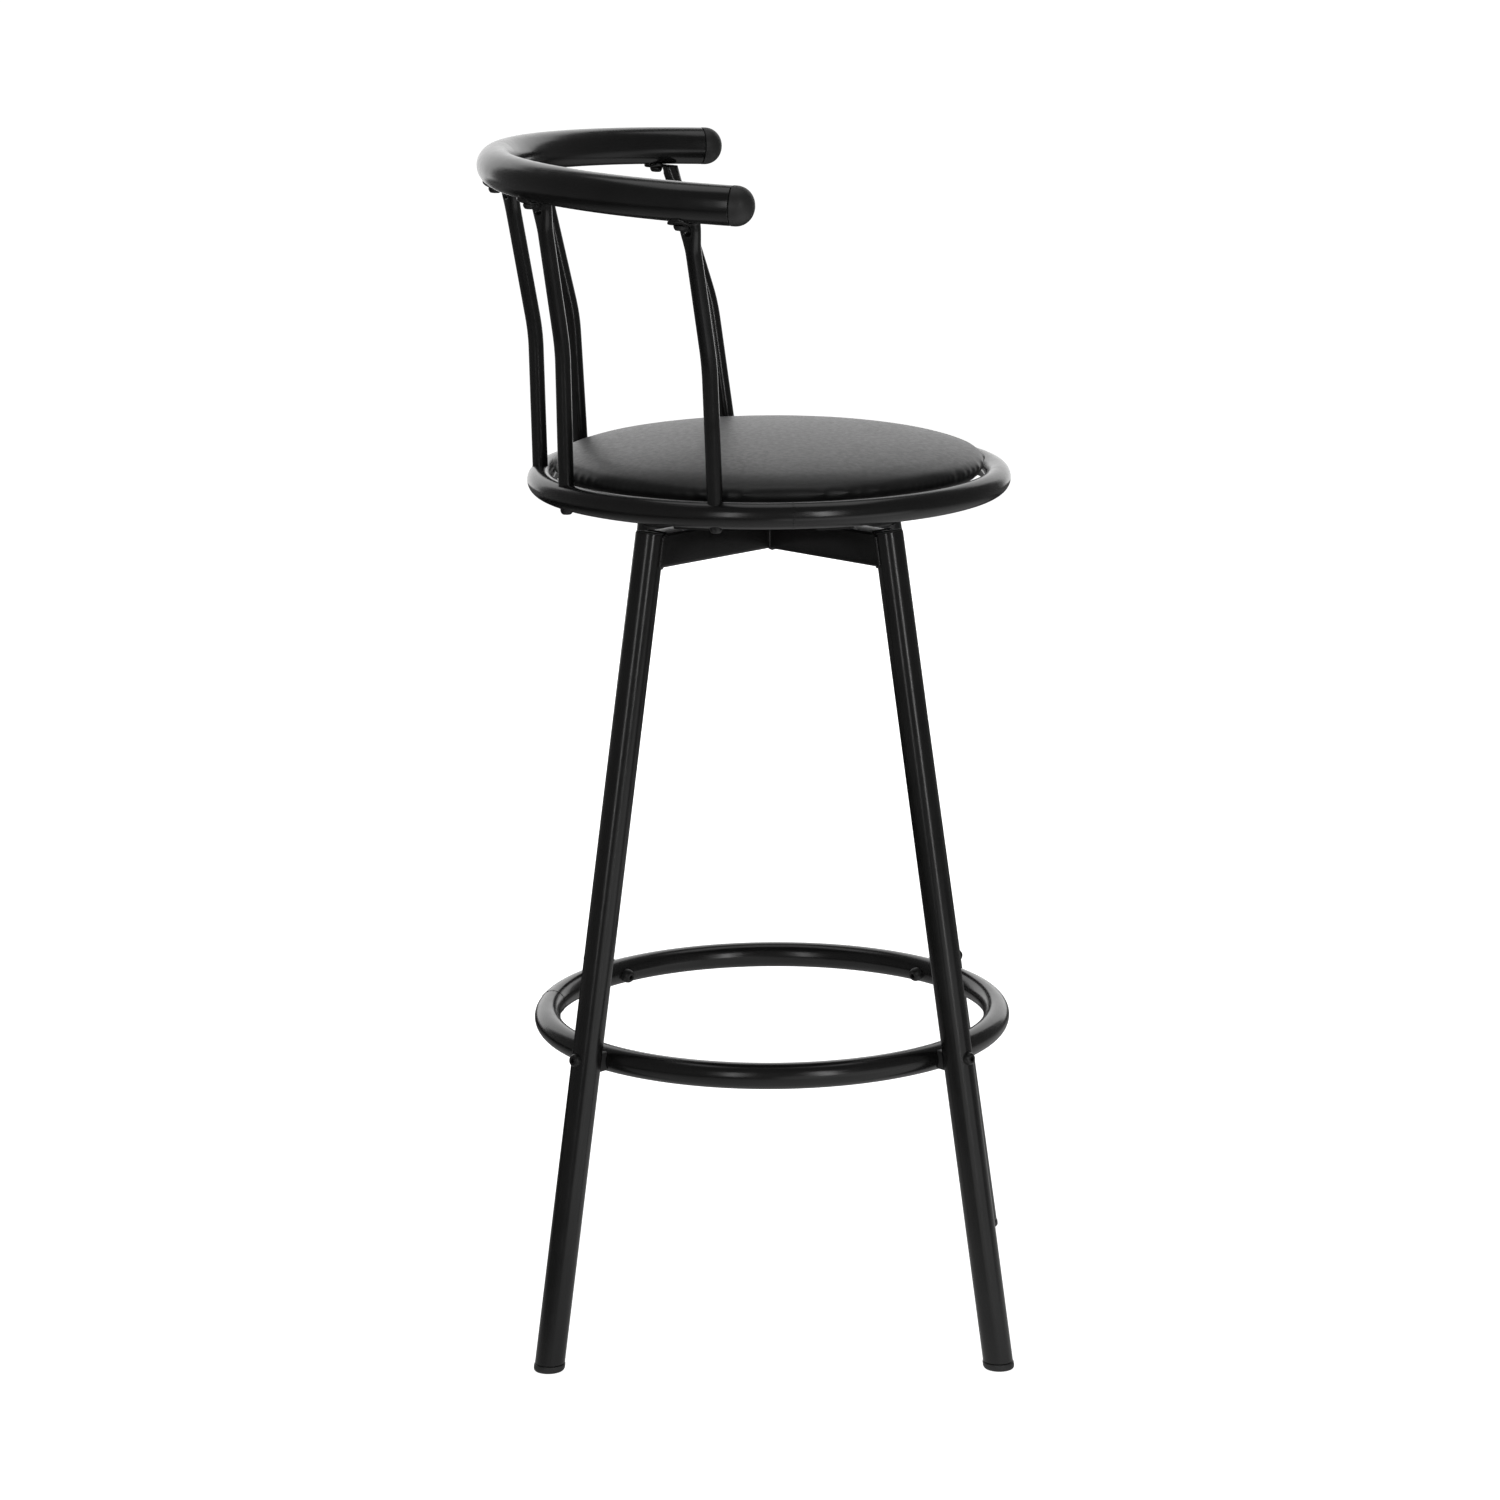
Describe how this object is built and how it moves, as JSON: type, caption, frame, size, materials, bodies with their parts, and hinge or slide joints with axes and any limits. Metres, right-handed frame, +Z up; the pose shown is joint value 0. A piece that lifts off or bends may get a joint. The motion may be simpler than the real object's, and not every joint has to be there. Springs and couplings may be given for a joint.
{
  "type": "bar stool with footrest",
  "caption": "Swivel bar stool: round padded seat in a tube ring, curved back rail on bent spindles, splayed tube legs and a ring footrest.",
  "frame": {"origin": "middle of the stool's footprint box, on the floor", "axes": "+Z up, +X to the front, the open side of the back rail, +Y to the sitter's left"},
  "size_m": [0.458, 0.5082, 1.0053],
  "materials": {
    "black_paint": "semi-gloss black powder coat",
    "black_plastic": "fine-grained matte black",
    "black_screws": "black oxide, satin",
    "zinc_steel": "dull zinc plate",
    "seat_vinyl": "smooth black vinyl, satin, very fine grain",
    "plywood": "raw plywood"
  },
  "bodies": {
    "base": {"leg_front_left": "black_paint", "leg_rear_left": "black_paint", "leg_rear_right": "black_paint", "leg_front_right": "black_paint", "foot_cap_front_left": "black_plastic", "foot_cap_rear_left": "black_plastic", "foot_cap_rear_right": "black_plastic", "foot_cap_front_right": "black_plastic", "brace_bar_long": "black_paint", "brace_half_left": "black_paint", "brace_half_right": "black_paint", "footrest_ring": "black_paint", "footrest_spacer_front_left": "black_plastic", "footrest_spacer_rear_left": "black_plastic", "footrest_spacer_rear_right": "black_plastic", "footrest_spacer_front_right": "black_plastic", "footrest_bolt_front_left": "black_screws", "footrest_bolt_rear_left": "black_screws", "footrest_bolt_rear_right": "black_screws", "footrest_bolt_front_right": "black_screws", "footrest_nut_front_left": "black_screws", "footrest_nut_rear_left": "black_screws", "footrest_nut_rear_right": "black_screws", "footrest_nut_front_right": "black_screws", "swivel_lower_plate": "zinc_steel", "swivel_ball_race": "zinc_steel", "swivel_base_bolt_front_left": "zinc_steel", "swivel_base_bolt_rear_left": "zinc_steel", "swivel_base_bolt_rear_right": "zinc_steel", "swivel_base_bolt_front_right": "zinc_steel"},
    "seat": {"swivel_upper_plate": "zinc_steel", "seat_strap_front": "black_paint", "seat_strap_rear": "black_paint", "seat_ring": "black_paint", "seat_board": "plywood", "seat_cushion": "seat_vinyl", "seat_bolt_front_left": "zinc_steel", "seat_bolt_rear_left": "zinc_steel", "seat_bolt_rear_right": "zinc_steel", "seat_bolt_front_right": "zinc_steel", "spindle_far_left": "black_paint", "spindle_left": "black_paint", "spindle_middle": "black_paint", "spindle_right": "black_paint", "spindle_far_right": "black_paint", "spindle_bolt_far_left": "black_screws", "spindle_bolt_left": "black_screws", "spindle_bolt_middle": "black_screws", "spindle_bolt_right": "black_screws", "spindle_bolt_far_right": "black_screws", "rail_screw_far_left": "black_screws", "rail_screw_left": "black_screws", "rail_screw_middle": "black_screws", "rail_screw_right": "black_screws", "rail_screw_far_right": "black_screws", "back_rail": "black_paint", "rail_cap_left": "black_plastic", "rail_cap_right": "black_plastic"}
  },
  "joints": [
    {"name": "swivel", "type": "hinge", "parent": "base", "child": "seat", "pos_m": [0.01212, 0, 0.702], "axis": [0, 0, 1], "continuous": true}
  ]
}
